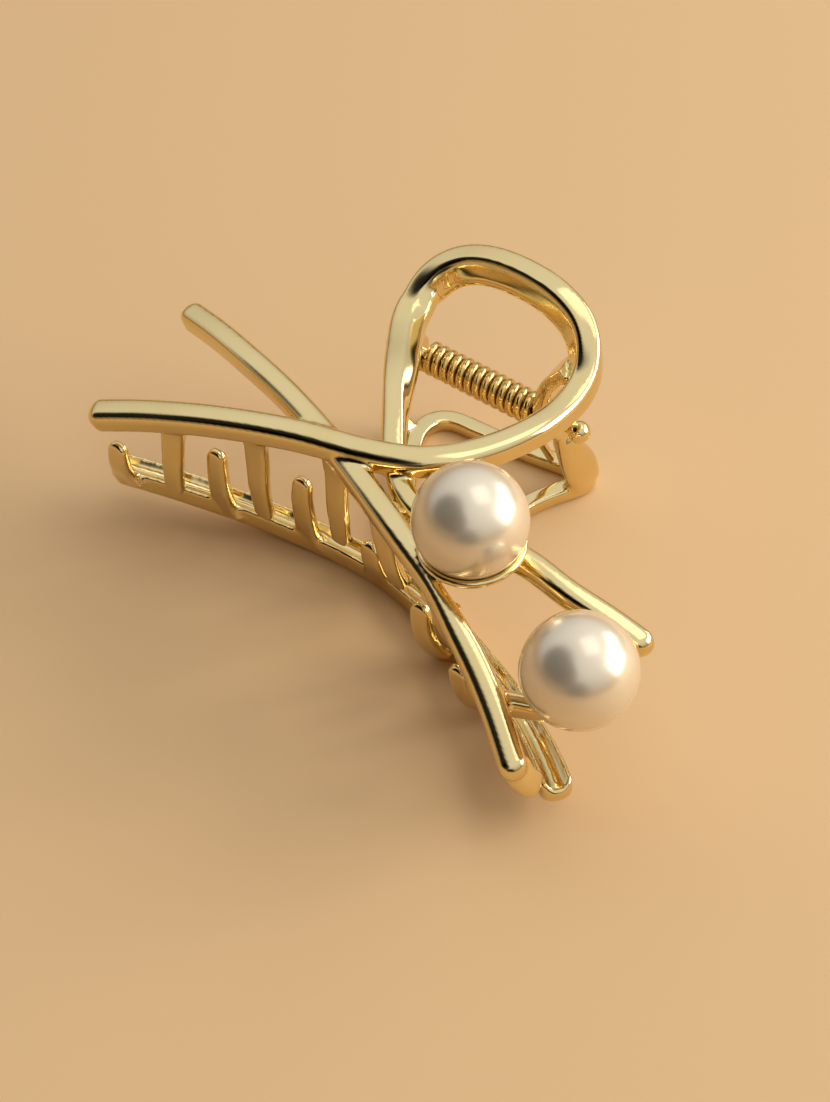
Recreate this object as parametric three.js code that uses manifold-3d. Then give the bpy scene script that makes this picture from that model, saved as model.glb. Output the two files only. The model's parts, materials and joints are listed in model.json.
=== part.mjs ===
// A hair claw clip: two cast jaws that turn on one sprung hinge pin, and two pearls glued on pegs
// in cups on the upper jaw. Millimetres, +Z up, lying on the table on its lower jaw.
//
// The jaws are drawn in the clip's own directions: l along the hinge pin, p from the pin towards
// the handles, n from the lower jaw towards the upper one, all measured from the pin's centre.
import * as THREE from "three";
import { mergeVertices } from "three/addons/utils/BufferGeometryUtils.js";
import Module from "manifold-3d";

const wasm = await Module();
wasm.setup();

// ---- driving dimensions ------------------------------------------------------------------------

const REST_TILT = 6;            // degrees, handles up, when the clip lies on its lower jaw
const HINGE_HEIGHT = 14.1;      // pin's centre above the table
const GAP = 0.3;                // clearance between separate pieces

const STRAND_WIDTH = 3.1;       // cast strands of the jaws, across the face
const STRAND_DEPTH = 2.9;       // and from the polished face to the back
const STRAND_EDGE = 0.85;       // radius of their long edges
const HANDLE_EXTRA = 0.7;       // the handle loop is this much wider towards its hole, and deeper
const HANDLE_LEAN = 1.2;        // and its side towards the hole leans in by this at the top
const LEG_LEAN = 1.3;
const FINGER_WIDTH = 2.3;       // the lower handle's thinner bar
const FINGER_DEPTH = 1.9;
const TIP_ROUNDING = 1.2;       // length over which a free tip rounds off
const TOOTH_ROOT = 3.3;         // teeth, flat strips that taper to a round tip
const TOOTH_TIP = 2.4;
const TOOTH_THICKNESS = 1.3;

const PIN_RADIUS = 0.75;
const PIN_FROM = -13.7;         // clinched end
const PIN_TO = 12.6;            // centre of the ball head
const HEAD_RADIUS = 1.35;
const EYE_RADIUS = 2.1;         // round eyes of the four hinge lugs
const EYE_BORE = PIN_RADIUS + GAP;

const WIRE_DIAMETER = 1.0;      // torsion spring
const COIL_RADIUS = 1.6;        // to the wire's centre
const COIL_FROM = -9.2;
const COIL_TO = 6.1;
const COIL_TURNS = 13;

const PEARL_RADIUS = 6.4;
const CUP_WALL = 0.9;
const PEG_RADIUS = 0.8;
const PEG_LENGTH = 4.5;

// ---- finishes ----------------------------------------------------------------------------------

const gold = new THREE.MeshStandardMaterial({ color: "#d9b66f", metalness: 1, roughness: 0.16 });
const goldWire = new THREE.MeshStandardMaterial({ color: "#cfa254", metalness: 1, roughness: 0.24 });
const pearlCoat = new THREE.MeshStandardMaterial({ color: "#efe7dc", metalness: 0, roughness: 0.28 });

// ---- solids ------------------------------------------------------------------------------------

// A closed three.js geometry as a solid that can be joined and cut.
function solid(geometry) {
  geometry.deleteAttribute("normal");
  geometry.deleteAttribute("uv");
  const merged = mergeVertices(geometry, 1e-4);
  return new wasm.Manifold(new wasm.Mesh({
    numProp: 3,
    vertProperties: new Float32Array(merged.attributes.position.array),
    triVerts: new Uint32Array(merged.index.array),
  }));
}

function joined(solids) {
  return solids.reduce((whole, next) => whole.add(next));
}

// A solid as a named mesh of the scene.
function piece(name, body, material) {
  const { vertProperties, triVerts } = body.getMesh();
  const geometry = new THREE.BufferGeometry();
  geometry.setAttribute("position", new THREE.BufferAttribute(new Float32Array(vertProperties), 3));
  geometry.setIndex(new THREE.BufferAttribute(new Uint32Array(triVerts), 1));
  geometry.computeVertexNormals();
  const mesh = new THREE.Mesh(geometry, material);
  mesh.name = name;
  return mesh;
}

// A rectangle with rounded corners, centred on the origin.
function roundedSection(width, depth, radius) {
  const x = width / 2;
  const y = depth / 2;
  const shape = new THREE.Shape();
  shape.moveTo(x - radius, -y);
  shape.absarc(x - radius, -y + radius, radius, -Math.PI / 2, 0);
  shape.absarc(x - radius, y - radius, radius, 0, Math.PI / 2);
  shape.absarc(-x + radius, y - radius, radius, Math.PI / 2, Math.PI);
  shape.absarc(-x + radius, -y + radius, radius, Math.PI, 1.5 * Math.PI);
  return shape;
}

// A rectangle with its corners cut off, centred on the origin.
function bevelledSection(width, depth, bevel) {
  const x = width / 2;
  const y = depth / 2;
  return new THREE.Shape([
    new THREE.Vector2(x - bevel, -y), new THREE.Vector2(x, -y + bevel),
    new THREE.Vector2(x, y - bevel), new THREE.Vector2(x - bevel, y),
    new THREE.Vector2(-x + bevel, y), new THREE.Vector2(-x, y - bevel),
    new THREE.Vector2(-x, -y + bevel), new THREE.Vector2(-x + bevel, -y),
  ]);
}

// A bar with the given section, carried along a smooth curve through the points. The section's y
// axis stays turned to the outward direction, and its size follows widthAt and depthAt, which take
// the distance from the start and from the end of the bar. reshape may move a point of the section.
function carriedBar(points, section, outward, steps, widthAt, depthAt, reshape = (x, y) => [x, y]) {
  const curve = new THREE.CatmullRomCurve3(points.map((point) => new THREE.Vector3(...point)));
  const length = curve.getLength();
  const bar = new THREE.ExtrudeGeometry(section, {
    depth: 1, steps, bevelEnabled: false, curveSegments: 1,
  });
  const position = bar.attributes.position;
  for (let i = 0; i < position.count; i += 1) {
    // steps crowd towards both ends, where the bar rounds off
    const along = (1 - Math.cos(Math.PI * position.getZ(i))) / 2;
    const evened = 0.5 * along + 0.5 * position.getZ(i);
    const centre = curve.getPointAt(evened);
    const tangent = curve.getTangentAt(evened);
    const face = new THREE.Vector3(...outward);
    face.addScaledVector(tangent, -face.dot(tangent)).normalize();
    const side = new THREE.Vector3().crossVectors(face, tangent);
    const fromStart = evened * length;
    const fromEnd = length - fromStart;
    const [x, y] = reshape(position.getX(i), position.getY(i), fromStart, fromEnd);
    centre.addScaledVector(side, x * widthAt(fromStart, fromEnd));
    centre.addScaledVector(face, y * depthAt(fromStart, fromEnd));
    position.setXYZ(i, centre.x, centre.y, centre.z);
  }
  return solid(bar);
}

// Size factor that rounds a bar off over the given radius: a quarter ellipse, never quite closed.
function roundOff(distance, radius) {
  const t = Math.min(distance / radius, 1);
  return Math.max(Math.sqrt(1 - (1 - t) ** 2), 0.35);
}

function strand(points, outward, steps, swell = () => 1, roundStart = true, roundEnd = true, reshape) {
  const section = roundedSection(STRAND_WIDTH, STRAND_DEPTH, STRAND_EDGE);
  const ends = (fromStart, fromEnd) => {
    const start = roundStart ? roundOff(fromStart, TIP_ROUNDING) : 1;
    const end = roundEnd ? roundOff(fromEnd, TIP_ROUNDING) : 1;
    return start * end;
  };
  const widthAt = (fromStart, fromEnd) => swell(fromStart, fromEnd) * ends(fromStart, fromEnd);
  return carriedBar(points, section, outward, steps, widthAt, ends, reshape);
}

const smoothShare = (t) => THREE.MathUtils.smoothstep(t, 0, 1);

// The section of the handle: wider towards its hole, which is on the side of plus x, with that side
// leaning in over the given height below the face.
function handleSection(x, y, share, extraDepth, lean, leanHeight) {
  const up = THREE.MathUtils.clamp(1 + (y - STRAND_DEPTH / 2) / leanHeight, 0, 1);
  const inward = x > 0 ? x * (1 + share * (HANDLE_EXTRA - lean * up) / (STRAND_WIDTH / 2)) : x;
  const down = y < 0 ? y * (1 + share * extraDepth / (STRAND_DEPTH / 2)) : y;
  return [inward, down];
}

// A flat tooth: wide and flared at its root, tapering to a round tip, facing out over the teeth.
function tooth(points, steps = 7) {
  const section = bevelledSection(TOOTH_ROOT, TOOTH_THICKNESS, 0.3);
  const taper = (fromStart, fromEnd) => {
    const share = fromStart / (fromStart + fromEnd);
    const flare = 1 + 0.45 * Math.max(0, 1 - fromStart / 2.2) ** 2;
    return flare * (1 + (TOOTH_TIP / TOOTH_ROOT - 1) * share) * roundOff(fromEnd, TOOTH_TIP / 2);
  };
  const thin = (fromStart, fromEnd) => roundOff(fromEnd, TOOTH_THICKNESS / 2);
  return carriedBar(points, section, [0, -1, 0], steps, taper, thin);
}

// A shape drawn with x along p and y along n, made a plate between two places along l.
function plate(shape, from, to) {
  const geometry = new THREE.ExtrudeGeometry(shape, {
    depth: to - from, bevelEnabled: false, curveSegments: 9,
  });
  const axes = new THREE.Matrix4().makeBasis(
    new THREE.Vector3(0, 1, 0), new THREE.Vector3(0, 0, 1), new THREE.Vector3(1, 0, 0));
  geometry.applyMatrix4(axes);
  geometry.translate(from, 0, 0);
  return solid(geometry);
}

function disc(radius) {
  const shape = new THREE.Shape();
  shape.absarc(0, 0, radius, 0, 2 * Math.PI);
  return shape;
}

// A hinge lug: a round eye on the pin, and an arm that flares from the eye into its jaw.
function lug(from, to, arm, armWidth, armFlare) {
  const eye = plate(disc(EYE_RADIUS), from, to);
  const section = bevelledSection(to - from, armWidth, 0.4);
  const flare = (fromStart, fromEnd) => 1 + (armFlare - 1) * (fromStart / (fromStart + fromEnd)) ** 2;
  const limb = carriedBar(arm, section, [0, -1, 0], 5, () => 1, flare);
  const bore = plate(disc(EYE_BORE), from - 1, to + 1);
  return { body: eye.add(limb), bore };
}

// A body of revolution about +Z from radius and height pairs that start and end on the axis.
function turned(profile, segments) {
  return new THREE.LatheGeometry(profile.map(([r, z]) => new THREE.Vector2(r, z)), segments)
    .rotateX(Math.PI / 2);
}

// ---- upper jaw ---------------------------------------------------------------------------------

const UP_AND_OUT = [0, -0.12, 1];

// One strand runs in from the left tip and round the handle loop, and dies out along its leg.
const RUN_AND_LOOP = [
  [-34.4, -31.5, 3.7], [-27.6, -29.3, 5.8], [-18.2, -26.7, 8.1], [-8.4, -24.3, 9.6],
  [-0.5, -22.7, 10.1], [5.9, -20.2, 10.3], [10.1, -15.7, 10], [13, -9.6, 9.5], [13.7, -3.7, 8.8],
  [13.2, 0.8, 9.6], [10.5, 4.5, 12.1], [6.1, 6.1, 13.5], [1.1, 6.7, 13.7], [-3.9, 6.7, 13.1],
  [-7.4, 5.9, 12], [-9.5, 4.1, 10.8], [-10.6, 1.4, 9.2], [-10.7, -1.8, 8.3], [-9.4, -5.2, 8.3],
];

// The leg starts in the loop's corner, passes under the first strand and runs out to the right.
const LEG_AND_TAIL = [
  [-9.5, 3.7, 10.2], [-9.9, 2.2, 9.6], [-10.4, -0.3, 8.6], [-9.5, -3, 8.3], [-7.9, -5.8, 8.6],
  [-4.8, -10.9, 9.3], [-1.3, -16.1, 9], [2, -20.6, 8.3], [6, -24, 7.9], [10.8, -25.4, 7.6],
  [16.1, -24.5, 7.3], [21.2, -23.4, 7], [27.8, -24, 6.2], [32.8, -23.9, 5.2], [38.3, -23.9, 3.8],
];

// The other strand crosses under the first and runs out to the lower right.
const CROSS_STRAND = [
  [-33.6, -14.2, 6], [-27.3, -15.8, 7.3], [-20.8, -17.7, 8.2], [-14.2, -19.6, 8.6],
  [-7.7, -21.9, 8.8], [-1.8, -24.3, 8.9], [4, -26.9, 8.9], [9.8, -29.5, 8.6], [14.9, -31.9, 7.7],
  [19.7, -34.3, 6.6], [24.4, -36.8, 5.2], [29, -39.8, 3.7], [34.9, -44.4, 1.9],
];
const CROSS_WAIST = 53;         // distance along the cross strand to its narrowest place

const UPPER_TEETH = [
  [[-24.2, -28.4, 6.1], [-24.2, -29.1, 2.2], [-24.2, -29.8, -1.8], [-24.2, -29.9, -5.2]],
  [[-14.2, -25.6, 7.8], [-14.2, -25.8, 2.8], [-14.2, -26.2, -1.2], [-14.2, -25.9, -7.2]],
  [[-4.9, -23.2, 8.9], [-4.9, -23, 3.4], [-4.9, -23.5, -1.6], [-4.9, -23.6, -8]],
  [[4.5, -26.8, 8.1], [4.6, -26.7, 2.9], [4.6, -26.2, -2.1], [4.8, -25.1, -7.5]],
  [[16.7, -32.4, 6.4], [16.7, -31.8, 1.5], [16.8, -30.9, -2.5], [16.9, -29.7, -6.4]],
  [[26.3, -37.5, 3.9], [26.4, -36.8, 0.6], [26.5, -35.6, -2.4], [26.6, -34.1, -4.6]],
];
const END_TOOTH = [[32.8, -42.2, 1.9], [34, -42.9, 0.3], [34.8, -42.3, -1.5], [35.3, -41.2, -2.7]];

const PEARLS = [
  { name: "pearl_inner", centre: [17.1, -26.8, 14.7], rimAngle: 56 },
  { name: "pearl_outer", centre: [35.7, -33.7, 9.6], rimAngle: 26 },
];
// Webs that carry the outer cup: from the cross strand and from the tail of the ribbon.
const CUP_WEBS = [
  [[27.4, -38.4, 3.4], [30.6, -36.6, 2.4], [34.4, -34.6, 2.2]],
  [[35.1, -23.9, 4.4], [35.5, -26.7, 3.4], [35.6, -31.2, 2.4]],
];

// A shallow round dish under a pearl, with a peg that stands in the pearl's drilled hole. The rim
// angle is in degrees, from the dish's lowest point up to its rim.
function cup(centre, rimAngle) {
  const inner = PEARL_RADIUS + GAP;
  const outer = inner + CUP_WALL;
  const rim = THREE.MathUtils.degToRad(rimAngle);
  const foot = Math.asin(PEG_RADIUS / inner);
  const steps = 4;
  const under = Array.from({ length: steps + 1 }, (_, i) => {
    const angle = rim * i / steps;
    return [outer * Math.sin(angle), -outer * Math.cos(angle)];
  });
  const dish = Array.from({ length: steps }, (_, i) => {
    const angle = foot + (rim - foot) * (1 - i / steps);
    return [inner * Math.sin(angle), -inner * Math.cos(angle)];
  });
  const pegTop = -inner + PEG_LENGTH;
  const pegFoot = -inner * Math.cos(foot);
  const peg = [[PEG_RADIUS, pegFoot], [PEG_RADIUS, pegTop], [0, pegTop]];
  return solid(turned([...under, ...dish, ...peg], 20).translate(...centre));
}

// The room that a pearl takes, with its clearance: nothing of the jaw may stand in it.
function pearlRoom(centre) {
  return solid(new THREE.SphereGeometry(PEARL_RADIUS + GAP, 20, 12).translate(...centre));
}

function peg(centre) {
  const length = PEG_LENGTH + 1;
  const geometry = new THREE.CylinderGeometry(PEG_RADIUS, PEG_RADIUS, length, 12).rotateX(Math.PI / 2);
  const foot = centre[2] - PEARL_RADIUS - GAP - 1;
  return solid(geometry.translate(centre[0], centre[1], foot + length / 2));
}

const upperLugs = [
  lug(7, 8.8, [[7.9, 0, 0.6], [8.1, 0.2, 3.6], [9, 0.6, 6.6], [10.8, 1.4, 8.9]], 3.6, 1.2),
  lug(-11.5, -10.2, [[-10.8, 0, 0.6], [-10.9, -0.4, 4], [-10.4, -0.3, 8.3]], 2, 1.3),
];

function upperJaw() {
  const loopWidth = (fromStart, fromEnd) => (1.1 - 0.1 * fromStart / (fromStart + fromEnd))
    * (1 - 0.6 * smoothShare((9 - fromEnd) / 8));
  const loopShare = (fromEnd) => smoothShare((46 - fromEnd) / 12) * smoothShare(fromEnd / 9);
  const loopSection = (x, y, fromStart, fromEnd) =>
    handleSection(x, y, loopShare(fromEnd), HANDLE_EXTRA, HANDLE_LEAN, 2.4);
  const tailWidth = (fromStart) => 0.92 + 0.12 * smoothShare((24 - fromStart) / 16);
  const legSection = (x, y, fromStart) =>
    handleSection(x, y, smoothShare((24 - fromStart) / 10), 0, LEG_LEAN, LEG_LEAN);
  const waist = (fromStart) => 1 - 0.32 * Math.exp(-(((fromStart - CROSS_WAIST) / 5) ** 2));
  const strands = [
    strand(RUN_AND_LOOP, UP_AND_OUT, 44, loopWidth, true, true, loopSection),
    strand(LEG_AND_TAIL, UP_AND_OUT, 30, tailWidth, true, true, legSection),
    strand(CROSS_STRAND, UP_AND_OUT, 28, waist),
    strand(END_TOOTH, [0, -1, 0], 5, () => 0.8, false, true),
    ...CUP_WEBS.map((points) => strand(points, UP_AND_OUT, 5, () => 0.65, false, false)),
  ];
  const teeth = UPPER_TEETH.map((points) => tooth(points));
  const cups = PEARLS.map(({ centre, rimAngle }) => cup(centre, rimAngle));
  const rooms = PEARLS.map(({ centre }) => pearlRoom(centre));
  const pegs = PEARLS.map(({ centre }) => peg(centre));
  const body = joined([...strands, ...teeth, ...cups, ...upperLugs.map(({ body }) => body)]);
  return body.subtract(joined([...rooms, ...upperLugs.map(({ bore }) => bore)])).add(joined(pegs));
}

// ---- lower jaw ---------------------------------------------------------------------------------

const DOWN_TO_TABLE = [0, -0.105, -1];

const LOWER_ARCH = [
  [-33.1, -30.9, -5.3], [-27.6, -28.7, -6.5], [-21.9, -26.5, -8], [-16.8, -24.9, -9],
  [-11.7, -23.7, -9.9], [-6.6, -23, -10.3], [-1.6, -22.8, -10.5], [3.4, -23.3, -10.5],
  [8.3, -24.6, -10.1], [13.2, -26.2, -9.6], [18.1, -28.3, -8.9], [23.1, -30.6, -8],
  [28.7, -33.7, -7.2], [33.5, -37, -6.3], [36.9, -39.7, -5.6],
];
const LOWER_LOOP = [
  [2.8, -23.4, -10.5], [-0.3, -18.6, -10.9], [-4.1, -12.6, -11.5], [-7.8, -6.6, -12.3],
  [-10.2, -1.4, -13], [-9.6, 1.6, -13.5], [-8, 2.6, -13.7], [-4.6, 2.8, -13.7], [0.4, 3.2, -13.7],
  [6.1, 4, -13.8], [9.8, 4.6, -13.7], [11.3, 4.2, -13.5], [11.1, 2.7, -13.3], [10, 0.6, -13],
  [8.8, -1.6, -12.8], [7.7, -4.2, -12.6], [6.5, -9, -12], [5.1, -14.1, -11.5],
  [3.9, -18.9, -11], [3.3, -23.4, -10.5],
];
const LOWER_TEETH = [
  [[-30.9, -30.8, -5.8], [-31.1, -31.6, -3.3], [-31.1, -31.2, 0.6]],
  [[-19.7, -26.5, -8.8], [-19.8, -27, -5.7], [-19.8, -27, -2], [-19.8, -26.5, 2]],
  [[-9.5, -24, -10], [-9.5, -24.3, -6.2], [-9.6, -24.2, -2.2], [-9.5, -23.7, 1]],
  [[0.8, -23.7, -10.4], [0.7, -24.7, -6.6], [0.6, -24.8, -2.9]],
  [[14.8, -26.8, -9.4], [13.7, -28.8, -10], [12.9, -30, -8], [12.3, -30.7, -4], [12.1, -30.4, 0.3]],
  [[22.9, -30.4, -8], [21.8, -32.7, -8.8], [20.8, -33.9, -7.1], [20.2, -34.2, -4.4],
    [19.9, -34.4, -1.1]],
];

const lowerLugs = [
  lug(9.3, 10.9, [[10.1, 0, -0.6], [10.3, 0.1, -3], [10.5, 0.4, -5]], 2.6, 1.1),
  lug(-13.1, -11.8,
    [[-12.4, 0, -0.6], [-13, -1.2, -5], [-12.9, -2.6, -9.5], [-10.6, -2.4, -12.8]], 1.8, 1.1),
];
// The right lug broadens into a leaf that runs down to the corner of the lower handle.
const LOWER_LEAF = [
  [10.4, 0.1, -2.8], [10.7, 0.7, -5], [11.1, 1.6, -8], [11.1, 2.6, -11.4], [10.8, 3, -13.3],
];

function lowerJaw() {
  const spoon = (fromStart) => 1 + 0.25 * THREE.MathUtils.clamp((fromStart - 64) / 14, 0, 1);
  const finger = bevelledSection(FINGER_WIDTH, FINGER_DEPTH, 0.45);
  const leafWidth = (fromStart) => 0.84 + 0.36 * smoothShare(fromStart / 7);
  const strands = [
    strand(LOWER_ARCH, DOWN_TO_TABLE, 32, spoon),
    carriedBar(LOWER_LOOP, finger, DOWN_TO_TABLE, 40, () => 1, () => 1),
    carriedBar(LOWER_LEAF, roundedSection(4, 1.8, 0.8), [1, -0.3, 0.45], 7, leafWidth, () => 1),
  ];
  const teeth = LOWER_TEETH.map((points) => tooth(points));
  const body = joined([...strands, ...teeth, ...lowerLugs.map(({ body }) => body)]);
  return body.subtract(joined(lowerLugs.map(({ bore }) => bore)));
}

// ---- hinge pin, spring and pearls --------------------------------------------------------------

// Turned about the pin's axis: a clinched button, the plain shank and a ball head.
function hingePin() {
  const button = [[0, PIN_FROM], [1.1, PIN_FROM], [1.3, PIN_FROM + 0.25], [1.1, PIN_FROM + 0.5]];
  const shank = [[PIN_RADIUS, PIN_FROM + 0.5]];
  const neck = Math.asin(PIN_RADIUS / HEAD_RADIUS);
  const ball = Array.from({ length: 8 }, (_, i) => {
    const angle = neck + (Math.PI - neck) * i / 7;
    return [HEAD_RADIUS * Math.sin(angle), PIN_TO - HEAD_RADIUS * Math.cos(angle)];
  });
  return solid(turned([...button, ...shank, ...ball], 16).rotateY(Math.PI / 2));
}

// A close coil round the pin, and a leg from each end: one up to the upper handle, one down to
// the lower one.
class SpringPath extends THREE.Curve {
  constructor() {
    super();
    this.upperLeg = new THREE.Vector3(-9.3, -2.6, 5.6);
    this.lowerLeg = new THREE.Vector3(6.4, 2.9, -11.8);
    this.coilLength = 2 * Math.PI * COIL_RADIUS * COIL_TURNS;
  }

  coil(share) {
    const angle = 2 * Math.PI * COIL_TURNS * share;
    const along = THREE.MathUtils.lerp(COIL_FROM, COIL_TO, share);
    return new THREE.Vector3(along, -COIL_RADIUS * Math.cos(angle), -COIL_RADIUS * Math.sin(angle));
  }

  getPoint(t, target = new THREE.Vector3()) {
    const first = this.coil(0);
    const last = this.coil(1);
    const upper = this.upperLeg.distanceTo(first);
    const lower = this.lowerLeg.distanceTo(last);
    const along = t * (upper + this.coilLength + lower);
    if (along < upper) return target.lerpVectors(this.upperLeg, first, along / upper);
    if (along > upper + this.coilLength) {
      return target.lerpVectors(last, this.lowerLeg, (along - upper - this.coilLength) / lower);
    }
    return target.copy(this.coil((along - upper) / this.coilLength));
  }
}

// The wire: a hexagonal bar carried along the spring's path, square to the pin's axis.
function torsionSpring() {
  const path = new SpringPath();
  const steps = 12 * COIL_TURNS + 8;
  const section = disc(WIRE_DIAMETER / 2);
  const wire = new THREE.ExtrudeGeometry(section, {
    depth: 1, steps, bevelEnabled: false, curveSegments: 3,
  });
  const position = wire.attributes.position;
  const axis = new THREE.Vector3(1, 0, 0);
  for (let i = 0; i < position.count; i += 1) {
    const t = position.getZ(i);
    const centre = path.getPoint(t);
    const tangent = path.getTangent(t);
    const side = axis.clone().addScaledVector(tangent, -axis.dot(tangent)).normalize();
    const up = new THREE.Vector3().crossVectors(tangent, side);
    centre.addScaledVector(side, position.getX(i)).addScaledVector(up, position.getY(i));
    position.setXYZ(i, centre.x, centre.y, centre.z);
  }
  return solid(wire);
}

// A ball with a blind hole from below for its peg.
function pearl(centre) {
  const hole = PEG_RADIUS + GAP;
  const depth = PEG_LENGTH + GAP;
  const foot = Math.sqrt(PEARL_RADIUS ** 2 - hole ** 2);
  const from = Math.asin(hole / PEARL_RADIUS);
  const steps = 10;
  const outside = Array.from({ length: steps + 1 }, (_, i) => {
    const angle = from + (Math.PI - from) * i / steps;
    return [PEARL_RADIUS * Math.sin(angle), -PEARL_RADIUS * Math.cos(angle)];
  });
  outside[steps][0] = 0;
  const profile = [[0, -foot + depth], [hole, -foot + depth], ...outside];
  return solid(turned(profile, 20).translate(...centre));
}

// ---- assembly ----------------------------------------------------------------------------------

// From the clip's own directions to the table: tilted about the hinge, and lifted.
const toTable = new THREE.Matrix4()
  .makeTranslation(0, 0, HINGE_HEIGHT)
  .multiply(new THREE.Matrix4().makeRotationX(THREE.MathUtils.degToRad(REST_TILT)));

function onTable(body) {
  return body.transform(toTable.elements);
}

// The lower jaw's back is dressed flat where it meets the table.
function dressedFlat(body) {
  return body.subtract(solid(new THREE.BoxGeometry(120, 120, 10).translate(0, -15, -5)));
}

const clip = new THREE.Group();
clip.add(piece("upper_jaw", onTable(upperJaw()), gold));
clip.add(piece("lower_jaw", dressedFlat(onTable(lowerJaw())), gold));
clip.add(piece("hinge_pin", onTable(hingePin()), gold));
clip.add(piece("torsion_spring", onTable(torsionSpring()), goldWire));
for (const { name, centre } of PEARLS) {
  clip.add(piece(name, onTable(pearl(centre)), pearlCoat));
}

// The origin is on the table under the middle of the clip's box.
const middle = new THREE.Box3().setFromObject(clip).getCenter(new THREE.Vector3());
clip.position.set(-middle.x, -middle.y, 0);

export default clip;
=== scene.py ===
# %% [markdown]
# # A hair claw clip with two pearls
#
# The clip is two polished castings that turn on one sprung pin, with two pearls glued on the upper
# one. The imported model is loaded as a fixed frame, and each piece is then made again, finely, in the
# same place. Everything is worked out in millimetres along the clip's own directions, and turned to
# metres on the table by one function: l along the hinge pin, p from the pin towards the handles, and
# n from the lower jaw towards the upper one.

# %% The frame
import json

import bmesh
import bpy
import numpy as np

from mathutils import Matrix, Vector

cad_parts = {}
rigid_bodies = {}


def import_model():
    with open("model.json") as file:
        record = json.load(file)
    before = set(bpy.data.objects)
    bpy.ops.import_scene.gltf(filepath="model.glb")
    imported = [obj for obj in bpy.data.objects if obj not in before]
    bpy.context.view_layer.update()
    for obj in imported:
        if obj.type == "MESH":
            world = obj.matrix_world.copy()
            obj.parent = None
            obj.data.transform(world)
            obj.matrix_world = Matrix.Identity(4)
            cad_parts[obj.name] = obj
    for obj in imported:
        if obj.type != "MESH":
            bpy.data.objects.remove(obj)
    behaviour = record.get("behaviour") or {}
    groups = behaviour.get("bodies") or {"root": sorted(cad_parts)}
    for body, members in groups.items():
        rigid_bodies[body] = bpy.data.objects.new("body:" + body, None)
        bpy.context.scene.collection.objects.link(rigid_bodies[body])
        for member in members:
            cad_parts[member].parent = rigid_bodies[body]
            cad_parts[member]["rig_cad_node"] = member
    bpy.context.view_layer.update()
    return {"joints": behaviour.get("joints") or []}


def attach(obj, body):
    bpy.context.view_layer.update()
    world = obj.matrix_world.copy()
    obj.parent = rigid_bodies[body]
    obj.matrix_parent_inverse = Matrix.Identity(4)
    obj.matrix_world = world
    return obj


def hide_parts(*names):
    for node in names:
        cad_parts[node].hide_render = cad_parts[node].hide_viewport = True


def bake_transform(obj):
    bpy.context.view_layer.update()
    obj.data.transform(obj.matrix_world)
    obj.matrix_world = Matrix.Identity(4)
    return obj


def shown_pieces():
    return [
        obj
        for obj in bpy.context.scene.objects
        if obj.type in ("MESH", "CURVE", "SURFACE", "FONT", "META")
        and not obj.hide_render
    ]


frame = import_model()
JOINT = frame["joints"][0]
PIN_CENTRE = np.array(JOINT["pos_m"])
print("hinge at", PIN_CENTRE.round(5), "turns", JOINT["range_deg"], "degrees")

# %% [markdown]
# ## From the clip's directions to the table
#
# The clip lies on its lower jaw with its handles tipped up by 6 degrees. A turn about the pin and a
# move to the pin's place do the whole change, so every measure below can be read as on the real clip.

# %% Directions
MM = 0.001
REST_TILT = np.radians(6)
ALONG_L = np.array([1.0, 0, 0])
ALONG_P = np.array([0, np.cos(REST_TILT), np.sin(REST_TILT)])
ALONG_N = np.array([0, -np.sin(REST_TILT), np.cos(REST_TILT)])


def on_table(points):
    """Rows of l, p, n in mm to x, y, z in metres: the pin's centre plus l, p and n along their axes."""
    l, p, n = np.moveaxis(np.asarray(points, float) * MM, -1, 0)[..., None]
    return PIN_CENTRE + l * ALONG_L + p * ALONG_P + n * ALONG_N


# %% [markdown]
# ## Paths
#
# A cast strand is drawn by a few points along its middle. A Catmull-Rom curve goes through them, but
# its bending changes in jumps, which polished metal shows as kinks in every reflection. So the curve is
# sampled closely, spaced evenly and then averaged with its neighbours over about a millimetre.

# %% Path helpers
STEP = 0.25                     # mm between samples along a strand
FINE_SAMPLES = 1200             # along a path before it is evenly spaced


def smooth_path(points, spread=1.2, step=STEP):
    """Points to evenly spaced samples: the centripetal Catmull-Rom cubic through the points, then a mean.

    Each knot is the last one plus the square root of the distance between two points. The curve between
    two points is a mean of means: three along the chords, two of those, and one of these. A Gaussian
    mean over spread mm then takes the jumps out of its bending.
    """
    q = np.asarray(points, float)
    q = np.vstack([2 * q[0] - q[1], q, 2 * q[-1] - q[-2]])
    knots = np.concatenate([[0], np.cumsum(np.linalg.norm(np.diff(q, axis=0), axis=1) ** 0.5)])
    t = np.linspace(knots[1], knots[-2], FINE_SAMPLES)
    i = np.clip(np.searchsorted(knots, t, "right") - 1, 1, len(q) - 3)
    k0, k1, k2, k3 = (knots[i + j][:, None] for j in (-1, 0, 1, 2))
    q0, q1, q2, q3 = (q[i + j] for j in (-1, 0, 1, 2))
    t = t[:, None]
    a1 = (k1 - t) / (k1 - k0) * q0 + (t - k0) / (k1 - k0) * q1
    a2 = (k2 - t) / (k2 - k1) * q1 + (t - k1) / (k2 - k1) * q2
    a3 = (k3 - t) / (k3 - k2) * q2 + (t - k2) / (k3 - k2) * q3
    b1 = (k2 - t) / (k2 - k0) * a1 + (t - k0) / (k2 - k0) * a2
    b2 = (k3 - t) / (k3 - k1) * a2 + (t - k1) / (k3 - k1) * a3
    fine = even(((k2 - t) * b1 + (t - k1) * b2) / (k2 - k1), step)
    return even(averaged(fine, spread / step), step)


def even(path, step):
    """The same line with its samples a step apart along it."""
    length = np.concatenate([[0], np.cumsum(np.linalg.norm(np.diff(path, axis=0), axis=1))])
    count = max(int(round(length[-1] / step)), 4)
    at = np.linspace(0, length[-1], count + 1)
    return np.stack([np.interp(at, length, path[:, k]) for k in range(3)], axis=1)


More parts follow.
